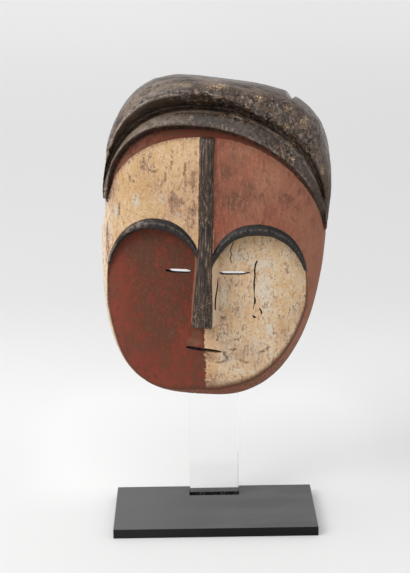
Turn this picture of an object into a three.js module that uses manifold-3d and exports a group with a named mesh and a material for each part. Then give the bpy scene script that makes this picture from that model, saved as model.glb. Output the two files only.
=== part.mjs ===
// A face mask carved from one piece of wood and painted, with its display stand: a clear acrylic
// upright that the mask hangs on, in a black base plate.
// Millimetres, +Z up. The origin is the middle of the base plate's underside, and the front faces -Y.
import * as THREE from "three";
import { ParametricGeometry } from "three/addons/geometries/ParametricGeometry.js";
import { mergeVertices } from "three/addons/utils/BufferGeometryUtils.js";
import Module from "manifold-3d";

const wasm = await Module();
wasm.setup();

// The display stand. The upright stands in a slot that goes through the base plate.
const BASE = { width: 200, depth: 100, height: 10 };
const UPRIGHT = { width: 50, thickness: 12, frontY: 27.5, footZ: 0.5, topZ: 395.9 };
const SLOT_GAP = 0.35;
const EASED_EDGE = 0.5;

// The mask's own frame has its origin on the plane of its back rim, X to the right, Z up its height,
// and its face towards -Y. This is where that frame sits on the stand.
const MASK_PLACE = { x: 1.45, y: 43.6, z: 274.15 };
const MASK_TURN = { yaw: 6.5, lean: 8, roll: 1.4 };

// The outline of the carved block at its back rim: an egg about a level above the eyes, a little
// fuller at its left cheek than at its right, with the chin set over to the right.
const WIDEST_Z = 30;
const OUTLINE = {
  left: 108.3, right: 109.9, crown: 118, chin: 180.9, crownPower: 2.7, chinPowerLeft: 3.5,
  chinPowerRight: 2.21, chinShift: 6.6,
};

// The left temple is cut in a little as it rises to the headdress.
const TEMPLE = { depth: 4.4, riseFrom: 6, riseTo: 38 };

// How far the block stands forward of its rim, and how it rounds over from front to side.
const BLOCK = { lowDepth: 68, highDepth: 84, riseFrom: 0, riseTo: 92, sidePower: 3.6, frontPower: 3 };

// The hollow for the wearer's face, cut from the back.
const HOLLOW = {
  lowDepth: 39, highDepth: 60, riseFrom: 8, riseTo: 78, sidePower: 3.6, frontPower: 2.8,
};
const HOLLOW_INSET = { side: 9, crown: 22, chin: 11 };

// Every part of the carving runs this far behind the rim before the back is trimmed flat.
const BACK_TRIM = 4;

// The two sunken face fields: each has an arched top, and both run out at the cheeks and chin.
// Below its foot, each arch's side gives way to the outline.
const FIELD_LEFT = { x: -49.9, z: -36, halfWidth: 47.4, rise: 57.1, power: 2.11 };
const FIELD_RIGHT = { x: 48.4, z: -36, halfWidth: 46.1, rise: 55, power: 2.15 };
const FIELD_FOOT = -60;
const FIELD = { depth: 53, fall: 16.5, fallPower: 3.5, mouthSwell: 5, mouthZ: -98, swellRadius: 30 };

// How much more the fields fall away at the chin, further left and further right of its middle.
const CHIN_FALL = { from: 80, to: 140, left: 9, leftReach: 60, right: -3, rightReach: 30 };

// The raised cord of each brow, and the long bar of the nose. Each brow's angles are on its field's
// arch, from the nose to the temple, and the cord swells between two of them.
const BROW_LEFT = {
  from: 10, to: 165, swellFrom: 10, swellTo: 151, radius: 5, endRadius: 1.2, power: 1.8,
};
const BROW_RIGHT = {
  from: 156, to: 16, swellFrom: 166, swellTo: 14, radius: 4.85, endRadius: 0.9, power: 0.9,
};
const BROW_BURY = 0.4;
const NOSE = {
  x: -0.9, topZ: 104, tipZ: -73.8, backDepth: 44, proud: 3.5, tipDepth: 81, browZ: 18,
  halfWidth: 6.6, tipHalfWidth: 8.9, widenFrom: 0.35, widenTo: 0.9, flare: 5, flareWithin: 1 / 3,
  rounding: 1.6,
};

// Slits cut through the wall: middle, length, height at the middle and slope. The power sets how
// blunt their ends are.
const EYE_LEFT = { x: -26.8, z: -24.1, length: 23, height: 4, slope: 0 };
const EYE_RIGHT = { x: 24.4, z: -24, length: 27, height: 3.6, slope: 2 };
const MOUTH = { x: -1.4, z: -99.2, length: 36.5, height: 3.4, slope: -5.5 };
const SLIT_POWER = 6;

// Cutters in the front view run from well in front of the face to well behind its wall.
const CUT = { near: 160, far: 20 };

// The headdress: a narrow front roll and a heavy crest behind it, each lying between two horseshoe
// curves over the forehead. Angles are from the curve's own centre, from the right side to the left.
const CURVE_Z = 10;
const ROLL_LOWER = {
  x: -18.6, left: 82.4, right: 127.6, rise: 104.8, leftPower: 2.6, rightPower: 2, slope: 0,
};
const ROLL_UPPER = {
  x: -8.8, left: 94.8, right: 120.8, rise: 118.7, leftPower: 2.42, rightPower: 2.19, slope: 0,
};
const CREST_UPPER = {
  x: -12, left: 94.6, right: 127.2, rise: 150.5, leftPower: 2.66, rightPower: 4.29, slope: -0.085,
};
const FRONT_ROLL = {
  from: 9, to: 161, deep: 12, proudSide: 9, proudTop: 16, proudPower: 2, slant: 4, endScale: 0.3,
  endPower: 0.5, widthPower: 0.2, power: 4.2,
};
const CREST = {
  from: 3.4, to: 169, frontSide: 56, frontTop: 96, frontPower: 1.3, back: -9, slant: 5, endScale: 0.42,
  endPower: 0.45, power: 2.7,
};

// The crest's front edge is a lip along this curve, and below it the crest is cut back to the roll.
const CREST_LIP = {
  x: -12, left: 93, right: 118, rise: 133, leftPower: 2.6, rightPower: 2, slope: 0,
};
const RECESS = { depth: 34, atSides: 0.4, power: 0.55, lowest: -0.85, highest: 0.6 };

// Towards its right end the crest lies further back and its recess fades out.
const FLATTER = { from: 68, to: 38, back: 7, recess: 0.8 };

// Everything behind the back rim's plane is trimmed off with this box.
const BEHIND = { low: [-180, 0, -200], high: [180, 60, 220] };

// How finely each surface is divided: round it, then along it. The nose is divided across, back and up.
const FINENESS = {
  block: [80, 22], hollow: [44, 14], brow: [8, 22], frontRoll: [12, 44], crest: [24, 44],
  nose: [4, 3, 30], slit: 10, fields: 26,
};

const rad = THREE.MathUtils.degToRad;
const { smoothstep, lerp } = THREE.MathUtils;

const signedPower = (value, power) => Math.sign(value) * Math.abs(value) ** power;

// A closed manifold-3d solid from a three.js geometry, with its faces pointing out.
function solidFrom(geometry) {
  const bare = geometry.clone();
  bare.deleteAttribute("normal");
  bare.deleteAttribute("uv");
  const merged = mergeVertices(bare, 1e-3);
  const position = merged.getAttribute("position");
  const index = merged.getIndex().array;
  const corner = [new THREE.Vector3(), new THREE.Vector3(), new THREE.Vector3()];
  const triangles = [];
  let volume = 0;
  for (let i = 0; i < index.length; i += 3) {
    const [a, b, c] = [index[i], index[i + 1], index[i + 2]];
    if (a === b || b === c || c === a) continue;
    triangles.push([a, b, c]);
    [a, b, c].forEach((n, k) => corner[k].fromBufferAttribute(position, n));
    volume += corner[0].dot(corner[1].cross(corner[2]));
  }
  const outward = volume > 0 ? triangles : triangles.map(([a, b, c]) => [a, c, b]);
  const mesh = new wasm.Mesh({
    numProp: 3,
    vertProperties: new Float32Array(position.array),
    triVerts: new Uint32Array(outward.flat()),
  });
  return new wasm.Manifold(mesh);
}

// A closed surface from a function of a turn u, which joins up with itself, and a run v from pole to pole.
function closedSurface(point, slices, stacks) {
  const place = (u, v, target) => point(u >= 1 ? 0 : u, v, target);
  return solidFrom(new ParametricGeometry(place, slices, stacks));
}

// A named mesh from a solid.
function meshFrom(solid, name, material) {
  const { vertProperties, triVerts } = solid.getMesh();
  const geometry = new THREE.BufferGeometry();
  geometry.setAttribute("position", new THREE.BufferAttribute(new Float32Array(vertProperties), 3));
  geometry.setIndex(new THREE.BufferAttribute(new Uint32Array(triVerts), 1));
  geometry.computeVertexNormals();
  const mesh = new THREE.Mesh(geometry, material);
  mesh.name = name;
  return mesh;
}

// How far the chin's middle line lies to the right at a height.
function chinShift(z) {
  return OUTLINE.chinShift * (Math.max(WIDEST_Z - z, 0) / OUTLINE.chin) ** 2;
}

// The distance of a point from the block's middle line as a share of the way to its outline.
function outlineShare(x, z) {
  const up = z > WIDEST_Z;
  const offset = x - chinShift(z);
  const chinPower = offset < 0 ? OUTLINE.chinPowerLeft : OUTLINE.chinPowerRight;
  const power = up ? OUTLINE.crownPower : chinPower;
  const half = offset < 0 ? OUTLINE.left : OUTLINE.right;
  const reach = up ? OUTLINE.crown : OUTLINE.chin;
  const across = (Math.abs(offset) / half) ** power;
  const along = (Math.abs(z - WIDEST_Z) / reach) ** power;
  return (across + along) ** (1 / power);
}

// A depth that rises from a low value at the chin to a high one at the brow.
function depthAt(z, shape) {
  return lerp(shape.lowDepth, shape.highDepth, smoothstep(z, shape.riseFrom, shape.riseTo));
}

// How far the carved block stands forward at a point of its front.
function blockDepth(x, z) {
  const share = Math.min(outlineShare(x, z), 1);
  return depthAt(z, BLOCK) * (1 - share ** BLOCK.sidePower) ** (1 / BLOCK.frontPower);
}

// How far the sunken face fields stand forward.
function fieldDepth(x, z) {
  const fromMouth = Math.hypot(x, z - FIELD.mouthZ) / FIELD.swellRadius;
  const left = CHIN_FALL.left * smoothstep(-x, 0, CHIN_FALL.leftReach);
  const right = CHIN_FALL.right * smoothstep(x, 0, CHIN_FALL.rightReach);
  const fall = FIELD.fall + (left + right) * smoothstep(-z, CHIN_FALL.from, CHIN_FALL.to);
  const fallen = fall * outlineShare(x, z) ** FIELD.fallPower;
  return FIELD.depth - fallen + FIELD.mouthSwell * Math.exp(-(fromMouth ** 2));
}

// A dome over the block's outline or one set in from it, with its left temple cut in by a depth: u
// turns round the outline, and v runs from the front pole over the side to the outline, then straight
// back a little, then to the back pole.
function dome(shape, inset, temple, [slices, stacks]) {
  const sideEnd = (stacks - 2) / stacks;
  const backEnd = (stacks - 1) / stacks;
  const within = 0.25 / stacks;
  return closedSurface((u, v, target) => {
    const cos = Math.cos(u * 2 * Math.PI);
    const sin = Math.sin(u * 2 * Math.PI);
    const tilt = (Math.PI / 2) * Math.min(v / sideEnd, 1);
    const share = v > backEnd + within ? 0 : Math.sin(tilt) ** (2 / shape.sidePower);
    const forward = Math.max(Math.cos(tilt), 0) ** (2 / shape.frontPower);
    const chinPower = cos < 0 ? OUTLINE.chinPowerLeft : OUTLINE.chinPowerRight;
    const power = sin > 0 ? OUTLINE.crownPower : chinPower;
    const half = (cos < 0 ? OUTLINE.left : OUTLINE.right) - inset.side;
    const reach = sin > 0 ? OUTLINE.crown - inset.crown : OUTLINE.chin - inset.chin;
    const radius = ((Math.abs(cos) / half) ** power + (Math.abs(sin) / reach) ** power) ** (-1 / power);
    const z = WIDEST_Z + radius * share * sin;
    const cutIn = cos < 0 ? temple * smoothstep(z, TEMPLE.riseFrom, TEMPLE.riseTo) * -cos * share ** 4 : 0;
    const x = radius * share * cos + chinShift(z) + cutIn;
    const isBehind = v > sideEnd + within;
    target.set(x, isBehind ? BACK_TRIM : -depthAt(z, shape) * forward, z);
  }, slices, stacks);
}

// A point of the arched top of a face field, at an angle from its right side over to its left.
function archPoint(field, degrees) {
  const angle = rad(degrees);
  const x = field.x + field.halfWidth * signedPower(Math.cos(angle), 2 / field.power);
  const z = field.z + field.rise * signedPower(Math.sin(angle), 2 / field.power);
  return new THREE.Vector2(x, z);
}

// The whole arch, from its left side over to its right.
function fieldArch(field, steps) {
  return Array.from({ length: steps + 1 }, (_, i) => archPoint(field, lerp(180, 0, i / steps)));
}

// An upright prism of an outline in the mask's front view, between two depths.
function prism(outline, nearDepth, farDepth) {
  const geometry = new THREE.ExtrudeGeometry(new THREE.Shape(outline), {
    depth: nearDepth - farDepth, bevelEnabled: false, steps: 1,
  });
  geometry.rotateX(Math.PI / 2);
  geometry.translate(0, -farDepth, 0);
  return solidFrom(geometry);
}

// A box whose vertices are moved by a function of their place in it, from 0 to 1 each way.
function shapedBox([across, deep, high], place) {
  const geometry = new THREE.BoxGeometry(1, 1, 1, across, deep, high);
  const position = geometry.getAttribute("position");
  const spot = new THREE.Vector3();
  for (let i = 0; i < position.count; i++) {
    spot.fromBufferAttribute(position, i).addScalar(0.5);
    position.setXYZ(i, ...place(spot.x, spot.y, spot.z));
  }
  return solidFrom(geometry);
}

// What is cut away in front of the face fields.
function fieldCutter() {
  const side = 140;
  const below = -175;
  const above = 60;
  const over = 5;
  const steps = FINENESS.fields;
  const outline = [
    new THREE.Vector2(-side, below),
    new THREE.Vector2(-side, FIELD_FOOT),
    new THREE.Vector2(FIELD_LEFT.x - FIELD_LEFT.halfWidth, FIELD_FOOT),
    ...fieldArch(FIELD_LEFT, steps),
    ...fieldArch(FIELD_RIGHT, steps),
    new THREE.Vector2(FIELD_RIGHT.x + FIELD_RIGHT.halfWidth, FIELD_FOOT),
    new THREE.Vector2(side, FIELD_FOOT),
    new THREE.Vector2(side, below),
  ];
  const block = shapedBox([steps, 1, steps], (a, b, c) => {
    const x = lerp(-side - over, side + over, a);
    const z = lerp(below - over, above, c);
    return [x, b > 0.5 ? -fieldDepth(x, z) : -CUT.near - over, z];
  });
  return prism(outline, CUT.near, CUT.far).intersect(block);
}

// A roll of round or squarish section along a path. The section lies across the path: one axis runs
// outwards in the front view, the other straight forward, and a slant sets its outer side back. Below
// a lip, the front of the section can be cut back by a recess.
function roll(path, [slices, stacks]) {
  return closedSurface((u, v, target) => {
    const { x, z, depth, outX, outZ, deep, slant, power, lip = 0, recess = 0 } = path(v);
    const angle = u * 2 * Math.PI;
    const end = v <= 0 || v >= 1 ? 0 : 1;
    const outward = end * signedPower(Math.cos(angle), 2 / power);
    const rounded = deep * signedPower(Math.sin(angle), 2 / power);
    const below = u > 0 && u <= 0.5 ? Math.max(lip - outward, 0) / (lip + 1) : 0;
    const forward = end * (rounded - recess * below ** RECESS.power);
    target.set(x + outX * outward, -(depth + forward - slant * outward), z + outZ * outward);
  }, slices, stacks);
}

// The cord of one brow, along the edge of its face field.
function brow(field, cord) {
  return roll((v) => {
    const angle = lerp(cord.from, cord.to, v);
    const spot = archPoint(field, angle);
    const along = archPoint(field, angle + 0.5).sub(spot).normalize();
    const swell = (angle - cord.swellFrom) / (cord.swellTo - cord.swellFrom);
    const run = THREE.MathUtils.clamp(swell, 0, 1);
    const radius = lerp(cord.endRadius, cord.radius, Math.sin(Math.PI * run) ** cord.power);
    return {
      x: spot.x, z: spot.y, depth: blockDepth(spot.x, spot.y) - BROW_BURY * radius,
      outX: along.y * radius, outZ: -along.x * radius, deep: radius, slant: 0, power: 2,
    };
  }, FINENESS.brow);
}

// The nose: a bar laid on the forehead that stands out from the sunken face below it.
function nose() {
  return shapedBox(FINENESS.nose, (a, b, c) => {
    const z = lerp(NOSE.tipZ, NOSE.topZ, c);
    const below = Math.max(NOSE.browZ - z, 0) / (NOSE.browZ - NOSE.tipZ);
    const browFront = blockDepth(0, Math.max(z, NOSE.browZ)) + NOSE.proud;
    const front = lerp(browFront, NOSE.tipDepth, below);
    const widening = smoothstep(below, NOSE.widenFrom, NOSE.widenTo);
    const half = lerp(NOSE.halfWidth, NOSE.tipHalfWidth, widening);
    const depth = lerp(front, NOSE.backDepth, b);
    const flare = NOSE.flare * Math.min(below / NOSE.flareWithin, 1) * b;
    const across = (a - 0.5) * 2;
    const rounded = b > 0 ? 0 : NOSE.rounding * across ** 4;
    return [NOSE.x + across * (half + flare), -(depth - rounded), z];
  });
}

// A slit through the wall, narrowing to a point at each end.
function slit({ x, z, length, height, slope }) {
  const steps = FINENESS.slit;
  const half = length / 2;
  const rise = Math.tan(rad(slope));
  const edge = (sign) => Array.from({ length: steps }, (_, i) => {
    const share = sign * (1 - (2 * i) / steps);
    const lens = (1 - share ** SLIT_POWER) * (height / 2);
    return new THREE.Vector2(x + share * half, z + share * half * rise + sign * lens);
  });
  return prism([...edge(1), ...edge(-1)], CUT.near, CUT.far);
}

// A point of a horseshoe curve at an angle from its centre. A slope tips its top to one side.
function curvePoint(curve, angle) {
  const cos = Math.cos(angle);
  const sin = Math.sin(angle);
  const half = cos < 0 ? curve.left : curve.right;
  const power = cos < 0 ? curve.leftPower : curve.rightPower;
  const across = (Math.abs(cos) / half) ** power;
  const along = (Math.abs(sin) / curve.rise) ** power;
  const radius = (across + along) ** (-1 / power);
  const tip = curve.slope * radius * cos * Math.max(sin, 0);
  return new THREE.Vector2(curve.x + radius * cos, CURVE_Z + radius * sin + tip);
}

// The middle of a band between two horseshoe curves, half its width, and how high up the head it is.
function band(inner, outer, angle) {
  const low = curvePoint(inner, angle);
  const high = curvePoint(outer, angle);
  const middle = low.clone().add(high).multiplyScalar(0.5);
  const half = high.sub(low).multiplyScalar(0.5);
  return { x: middle.x, z: middle.y, outX: half.x, outZ: half.y, height: Math.max(Math.sin(angle), 0) };
}

// The narrow roll at the front of the headdress.
function frontRoll() {
  return roll((v) => {
    const at = band(ROLL_LOWER, ROLL_UPPER, rad(lerp(FRONT_ROLL.from, FRONT_ROLL.to, v)));
    const size = lerp(FRONT_ROLL.endScale, 1, Math.sin(Math.PI * v) ** FRONT_ROLL.endPower);
    const width = lerp(FRONT_ROLL.endScale, 1, Math.sin(Math.PI * v) ** FRONT_ROLL.widthPower);
    const rise = at.height ** FRONT_ROLL.proudPower;
    const proud = lerp(FRONT_ROLL.proudSide, FRONT_ROLL.proudTop, rise) * size;
    const deep = FRONT_ROLL.deep * size;
    return {
      ...at, outX: at.outX * width, outZ: at.outZ * width, deep,
      depth: blockDepth(at.x, at.z) + proud - deep, slant: FRONT_ROLL.slant * size, power: FRONT_ROLL.power,
    };
  }, FINENESS.frontRoll);
}

// How far out a curve lies on a band at an angle: -1 at the band's inner side and 1 at its outer one.
function shareOfBand(curve, at, angle) {
  const spot = curvePoint(curve, angle);
  const reach = at.outX ** 2 + at.outZ ** 2;
  return ((spot.x - at.x) * at.outX + (spot.y - at.z) * at.outZ) / reach;
}

// The heavy crest behind it, which runs back to the rim.
function crest() {
  return roll((v) => {
    const degrees = lerp(CREST.from, CREST.to, v);
    const flatter = 1 - smoothstep(degrees, FLATTER.to, FLATTER.from);
    const angle = rad(degrees);
    const at = band(ROLL_UPPER, CREST_UPPER, angle);
    const lip = THREE.MathUtils.clamp(shareOfBand(CREST_LIP, at, angle), RECESS.lowest, RECESS.highest);
    const size = lerp(CREST.endScale, 1, Math.sin(Math.PI * v) ** CREST.endPower);
    const rise = lerp(CREST.frontSide, CREST.frontTop, at.height ** CREST.frontPower);
    const front = (rise - FLATTER.back * flatter) * size;
    const recess = RECESS.depth * size * lerp(RECESS.atSides, 1, at.height);
    const deep = (front - CREST.back) / 2;
    return {
      ...at, outX: at.outX * size, outZ: at.outZ * size, deep,
      depth: CREST.back + deep, slant: CREST.slant * size, power: CREST.power,
      lip, recess: recess * (1 - FLATTER.recess * flatter),
    };
  }, FINENESS.crest);
}

// A box between two corners.
function boxSolid(low, high) {
  const size = high.map((value, i) => value - low[i]);
  const geometry = new THREE.BoxGeometry(...size);
  geometry.translate(...low.map((value, i) => value + size[i] / 2));
  return solidFrom(geometry);
}

// The whole mask in its own frame: one piece of wood.
function maskSolid() {
  const block = dome(BLOCK, { side: 0, crown: 0, chin: 0 }, TEMPLE.depth, FINENESS.block);
  const hollow = dome(HOLLOW, HOLLOW_INSET, 0, FINENESS.hollow);
  const behind = boxSolid(BEHIND.low, BEHIND.high);
  return block
    .subtract(fieldCutter())
    .add(brow(FIELD_LEFT, BROW_LEFT))
    .add(brow(FIELD_RIGHT, BROW_RIGHT))
    .add(nose())
    .add(frontRoll())
    .add(crest())
    .subtract(behind)
    .subtract(hollow)
    .subtract(slit(EYE_LEFT))
    .subtract(slit(EYE_RIGHT))
    .subtract(slit(MOUTH));
}

// A rectangle in a flat shape, from its middle.
function rectangle(path, x, y, width, height) {
  path.moveTo(x - width / 2, y - height / 2);
  path.lineTo(x + width / 2, y - height / 2);
  path.lineTo(x + width / 2, y + height / 2);
  path.lineTo(x - width / 2, y + height / 2);
  path.closePath();
  return path;
}

// A sheet of a given thickness cut to a shape, with the edges of both its faces eased.
function sheet(shape, thickness) {
  return new THREE.ExtrudeGeometry(shape, {
    depth: thickness - 2 * EASED_EDGE, bevelEnabled: true, bevelThickness: EASED_EDGE,
    bevelSize: EASED_EDGE, bevelOffset: -EASED_EDGE, bevelSegments: 1,
  }).translate(0, 0, EASED_EDGE);
}

// The base plate with the slot for the upright.
function baseSolid() {
  const plate = rectangle(new THREE.Shape(), 0, 0, BASE.width, BASE.depth);
  const slotY = UPRIGHT.frontY + UPRIGHT.thickness / 2;
  const slotWidth = UPRIGHT.width + 2 * SLOT_GAP;
  const slotDepth = UPRIGHT.thickness + 2 * SLOT_GAP;
  plate.holes.push(rectangle(new THREE.Path(), 0, slotY, slotWidth, slotDepth));
  return solidFrom(sheet(plate, BASE.height));
}

// The clear upright.
function uprightSolid() {
  const height = UPRIGHT.topZ - UPRIGHT.footZ;
  const middleZ = UPRIGHT.footZ + height / 2;
  const bar = sheet(rectangle(new THREE.Shape(), 0, middleZ, UPRIGHT.width, height), UPRIGHT.thickness);
  bar.rotateX(Math.PI / 2);
  bar.translate(0, UPRIGHT.frontY + UPRIGHT.thickness, 0);
  return solidFrom(bar);
}

const paintedWood = new THREE.MeshStandardMaterial({ color: 0x7a4436, roughness: 0.75, metalness: 0 });
const clearAcrylic = new THREE.MeshStandardMaterial({
  color: 0xf2f6f6, roughness: 0.05, metalness: 0, transparent: true, opacity: 0.25,
});
const blackAcrylic = new THREE.MeshStandardMaterial({ color: 0x1c1c1d, roughness: 0.3, metalness: 0 });

const part = new THREE.Group();
part.add(meshFrom(baseSolid(), "base_plate", blackAcrylic));
part.add(meshFrom(uprightSolid(), "upright", clearAcrylic));

const maskFrame = new THREE.Group();
maskFrame.position.set(MASK_PLACE.x, MASK_PLACE.y, MASK_PLACE.z);
maskFrame.rotation.set(-rad(MASK_TURN.lean), rad(MASK_TURN.roll), -rad(MASK_TURN.yaw), "ZXY");
maskFrame.add(meshFrom(maskSolid(), "mask", paintedWood));
part.add(maskFrame);

export default part;
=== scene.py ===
"""The looks of a carved and painted face mask on its display stand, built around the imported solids."""

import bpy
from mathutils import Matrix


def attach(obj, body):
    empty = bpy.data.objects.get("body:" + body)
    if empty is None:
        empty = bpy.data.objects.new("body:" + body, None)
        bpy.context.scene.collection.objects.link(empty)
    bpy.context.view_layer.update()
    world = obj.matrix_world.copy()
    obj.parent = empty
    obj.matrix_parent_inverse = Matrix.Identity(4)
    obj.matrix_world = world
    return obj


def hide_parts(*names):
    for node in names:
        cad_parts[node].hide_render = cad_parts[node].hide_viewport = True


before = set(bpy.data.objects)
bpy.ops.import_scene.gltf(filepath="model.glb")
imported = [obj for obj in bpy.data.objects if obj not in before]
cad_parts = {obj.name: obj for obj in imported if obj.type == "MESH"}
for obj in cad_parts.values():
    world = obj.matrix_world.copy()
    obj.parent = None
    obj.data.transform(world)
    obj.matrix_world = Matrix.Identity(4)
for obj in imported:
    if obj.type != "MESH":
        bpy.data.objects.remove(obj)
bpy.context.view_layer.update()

import logging
import math
from dataclasses import dataclass
from enum import Enum
from typing import Callable, Iterable, Union

import bmesh
import bpy
import numpy as np
from mathutils import Matrix, Vector

LOG = logging.getLogger("mask")
MM = 0.001
SEED = 20

Points = np.ndarray
Values = np.ndarray
Mover = Callable[[Points], Points]
Path = Callable[[Values], dict[str, Values]]
Row = tuple[float, ...]
Amount = Union["Socket", float]
Look = Union["Coat", Row]
BMesh = bmesh.types.BMesh


def ramp(value: Values, low: float, high: float) -> Values:
    """A soft ramp from 0 at low to 1 at high."""
    share = np.clip((value - low) / (high - low), 0, 1)
    return share * share * (3 - 2 * share)


def signed_power(value: Values, power: float) -> Values:
    """A power of the size of a value that keeps its sign."""
    return np.sign(value) * np.abs(value) ** power


def swell(run: Values, tip: float, power: float) -> Values:
    """How thick a roll is along its run from 0 to 1: the tip's share at the ends, all in the middle."""
    return tip + (1 - tip) * np.sin(np.pi * run) ** power


def oval(across: Values, up: Values, half: Values, reach: Values, power: Values) -> Values:
    """How far out a point lies: 0 in the middle and 1 on an oval of a given squareness."""
    return ((np.abs(across) / half) ** power + (np.abs(up) / reach) ** power) ** (1 / power)


def srgb(red: float, green: float, blue: float) -> tuple[float, float, float, float]:
    """A colour as a shader wants it, from its three 0 to 255 screen values."""
    shares = [value / 255 for value in (red, green, blue)]
    return (*(v / 12.92 if v <= 0.04045 else ((v + 0.055) / 1.055) ** 2.4 for v in shares), 1.0)


@dataclass(frozen=True)
class Inset:
    """How far an outline is set in from the block's own, in millimetres."""

    side: float = 0
    crown: float = 0
    chin: float = 0


@dataclass(frozen=True)
class Outline:
    """The egg-shaped outline of the block at its back rim."""

    widest_z: float = 30
    left: float = 108.3
    right: float = 109.9
    crown: float = 118
    chin: float = 180.9
    crown_power: float = 2.7
    chin_power_left: float = 3.5
    chin_power_right: float = 2.21
    chin_shift: float = 6.6

    def shift(self, z: Values) -> Values:
        """How far the chin's middle line lies to the right at a height."""
        return self.chin_shift * (np.maximum(self.widest_z - z, 0) / self.chin) ** 2

    def away(self, across: Values, up: Values, inset: Inset) -> Values:
        """How far a point lies from the outline's middle: 1 is on the outline, set in as told."""
        chin_power = np.where(across < 0, self.chin_power_left, self.chin_power_right)
        power = np.where(up > 0, self.crown_power, chin_power)
        half = np.where(across < 0, self.left, self.right) - inset.side
        reach = np.where(up > 0, self.crown - inset.crown, self.chin - inset.chin)
        return oval(across, up, half, reach, power)

    def share(self, x: Values, z: Values, inset: Inset = Inset()) -> Values:
        """The way from the middle line of the front view to the outline: 0 to 1."""
        return self.away(x - self.shift(z), z - self.widest_z, inset)


@dataclass(frozen=True)
class Bulge:
    """How far a dome stands forward of the rim, and how it rounds over to the side."""

    low: float
    high: float
    rise_from: float
    rise_to: float
    side_power: float
    front_power: float

    def height(self, z: Values) -> Values:
        """The dome's full depth at a height of the mask."""
        return self.low + (self.high - self.low) * ramp(z, self.rise_from, self.rise_to)

    def depth(self, z: Values, share: Values) -> Values:
        """The dome's depth at a height and a share of the way to its outline."""
        left = 1 - np.clip(share, 0, 1) ** self.side_power
        return self.height(z) * left ** (1 / self.front_power)


@dataclass(frozen=True)
class Arch:
    """The arched top of one sunken face field."""

    x: float
    z: float
    half_width: float
    rise: float
    power: float

    def point(self, angle: Values) -> tuple[Values, Values]:
        """A point of the arch at an angle from its right foot."""
        x = self.x + self.half_width * signed_power(np.cos(angle), 2 / self.power)
        return x, self.z + self.rise * signed_power(np.sin(angle), 2 / self.power)

    def inside(self, x: Values, z: Values) -> Values:
        """Roughly how many millimetres a point lies inside the arch and the straight sides below it."""
        ring = oval(x - self.x, np.maximum(z - self.z, 0), self.half_width, self.rise, self.power)
        return (1 - ring) * np.where(z > self.z, 0.5 * (self.half_width + self.rise), self.half_width)

    def angle(self, x: Values, z: Values) -> Values:
        """The angle on the arch, in degrees, of the way to a point."""
        across = signed_power((x - self.x) / self.half_width, self.power / 2)
        up = signed_power((z - self.z) / self.rise, self.power / 2)
        return np.degrees(np.arctan2(up, across))


@dataclass(frozen=True)
class Cord:
    """A raised cord along an arch, thickest between two angles and thin beyond them."""

    start: float
    end: float
    swell_from: float
    swell_to: float
    radius: float
    end_radius: float
    power: float

    def thickness(self, angle: Values) -> Values:
        """The cord's radius at an angle of the arch, in degrees."""
        run = np.clip((angle - self.swell_from) / (self.swell_to - self.swell_from), 0, 1)
        return self.radius * swell(run, self.end_radius / self.radius, self.power)


@dataclass(frozen=True)
class Field:
    """How far the sunken face fields stand forward, and how they fall back towards the outline."""

    depth: float = 53
    fall: float = 16.5
    fall_left_chin: float = 9
    fall_right_chin: float = -3
    fall_power: float = 3.5
    mouth_swell: float = 5
    mouth_z: float = -98
    swell_radius: float = 30

    def at(self, x: Values, z: Values, share: Values) -> Values:
        """The depth of the face fields' surface at a point."""
        sides = self.fall_left_chin * ramp(-x, 0, 60) + self.fall_right_chin * ramp(x, 0, 30)
        fall = self.fall + ramp(-z, 80, 140) * sides
        away = np.hypot(x, z - self.mouth_z) / self.swell_radius
        return self.depth - fall * share**self.fall_power + self.mouth_swell * np.exp(-(away**2))


@dataclass(frozen=True)
class Horseshoe:
    """A curve over the forehead, round a centre that all of them share in height."""

    x: float
    left: float
    right: float
    rise: float
    left_power: float
    right_power: float
    slope: float = 0
    centre_z: float = 10

    def radius(self, angle: Values) -> Values:
        """The curve's distance from its centre at an angle."""
        cos, sin = np.cos(angle), np.sin(angle)
        power = np.where(cos < 0, self.left_power, self.right_power)
        return 1 / oval(cos, sin, np.where(cos < 0, self.left, self.right), self.rise, power)

    def point(self, angle: Values) -> tuple[Values, Values]:
        """The curve's point at an angle from its centre."""
        across, up = self.radius(angle) * np.cos(angle), self.radius(angle) * np.sin(angle)
        tip = self.slope * across * np.maximum(np.sin(angle), 0)
        return self.x + across, self.centre_z + up + tip

    def beyond(self, x: Values, z: Values) -> Values:
        """Roughly how many millimetres a point lies outside the curve."""
        across, up = x - self.x, z - self.centre_z
        up = up - self.slope * across * (up > 0)
        return np.hypot(across, up) - self.radius(np.arctan2(up, across))


@dataclass(frozen=True)
class Slit:
    """A slit cut through the wall, with pointed ends."""

    x: float
    z: float
    length: float
    height: float
    slope: float

    def outline(self, steps: int = 18) -> list[tuple[float, float]]:
        """The slit's outline in the front view."""
        share = 1 - 2 * np.arange(steps) / steps
        share = np.concatenate([share, -share])
        lens = (1 - share**6) * self.height / 2 * np.repeat((1, -1), steps)
        rise = math.tan(math.radians(self.slope))
        along = share * self.length / 2
        return list(zip(self.x + along, self.z + along * rise + lens))

    def near(self, x: Values, z: Values) -> Values:
        """How far a point lies inside the slit's box, which is 2 mm larger all round."""
        across = self.length / 2 + 2 - np.abs(x - self.x)
        return np.minimum(across, self.height / 2 + 2 - np.abs(z - self.z))


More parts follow.
